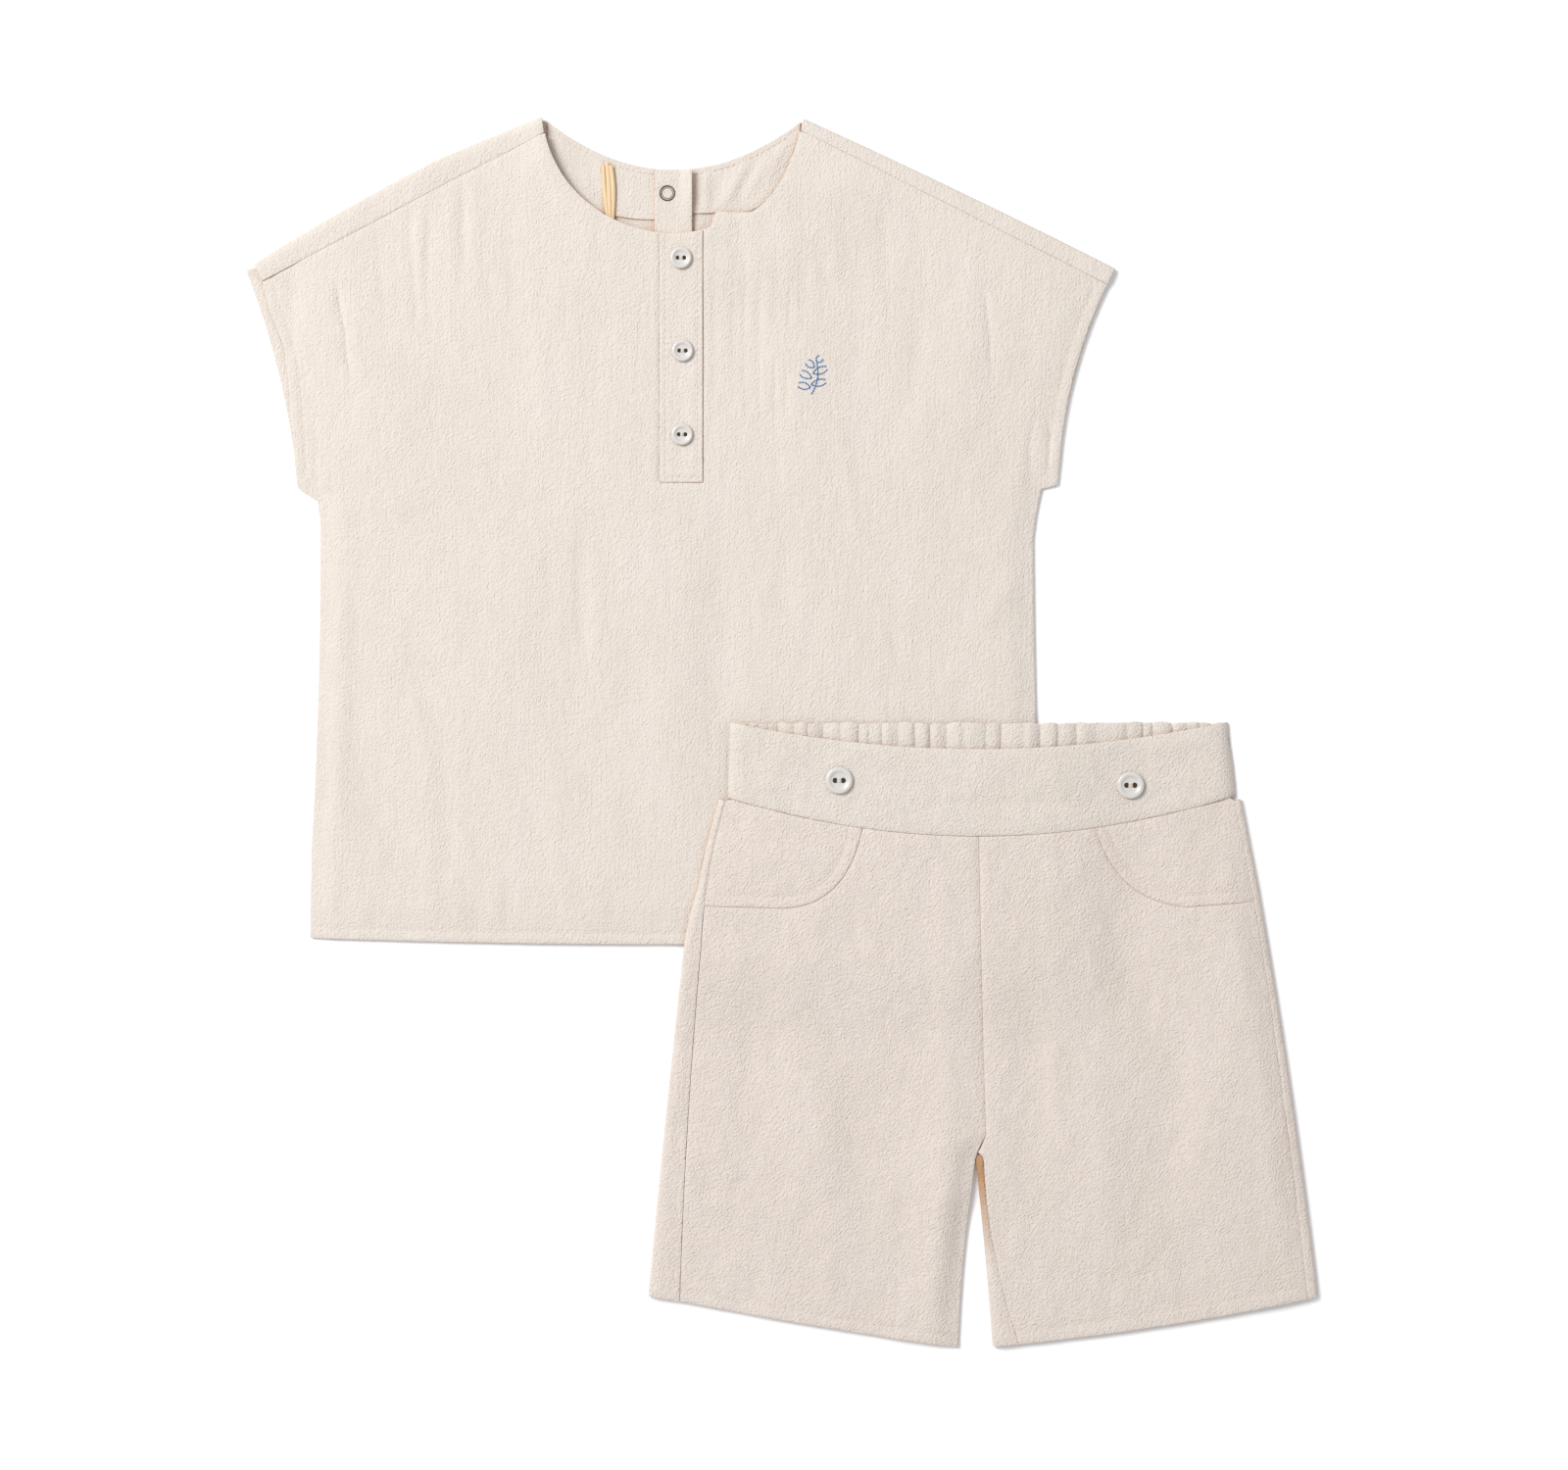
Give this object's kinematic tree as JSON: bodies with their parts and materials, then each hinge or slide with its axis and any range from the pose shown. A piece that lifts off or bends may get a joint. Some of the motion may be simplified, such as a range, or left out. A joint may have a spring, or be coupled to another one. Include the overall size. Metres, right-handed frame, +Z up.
{
  "type": "child's shorts set",
  "caption": "Child's set laid flat: a cap-sleeved crepe cotton top with a buttoned front strip, and pull-on shorts with a gathered back waist lying over its lower corner.",
  "frame": {"origin": "middle of the footprint of the whole laid-out set, on the surface that it lies on", "axes": "+Y from the top's hem to its neck, +X to the right as seen from above, +Z up from the surface"},
  "size_m": [0.5037, 0.5772, 0.0121],
  "materials": {
    "crepe_cotton": "undyed cream cotton crepe, matt, finely crinkled along the warp",
    "loop_tape": "yellowish cream cotton tape with a slight sheen",
    "button_resin": "polished pearly resin button with a raised rim",
    "snap_metal": "nickel plated snap ring"
  },
  "bodies": {
    "root": {"top_back": "crepe_cotton", "top_front": "crepe_cotton", "top_placket": "crepe_cotton", "top_facing_left": "crepe_cotton", "top_facing_right": "crepe_cotton", "top_back_placket": "crepe_cotton", "shorts_back_left": "crepe_cotton", "shorts_back_right": "crepe_cotton", "shorts_front_left": "crepe_cotton", "shorts_front_right": "crepe_cotton", "shorts_pocket_left": "crepe_cotton", "shorts_pocket_right": "crepe_cotton", "shorts_band_back": "crepe_cotton", "shorts_band_front": "crepe_cotton", "top_button_1": "button_resin", "top_button_2": "button_resin", "top_button_3": "button_resin", "shorts_button_left": "button_resin", "shorts_button_right": "button_resin", "top_hanger_loop": "loop_tape", "top_snap_ring": "snap_metal"}
  },
  "joints": []
}
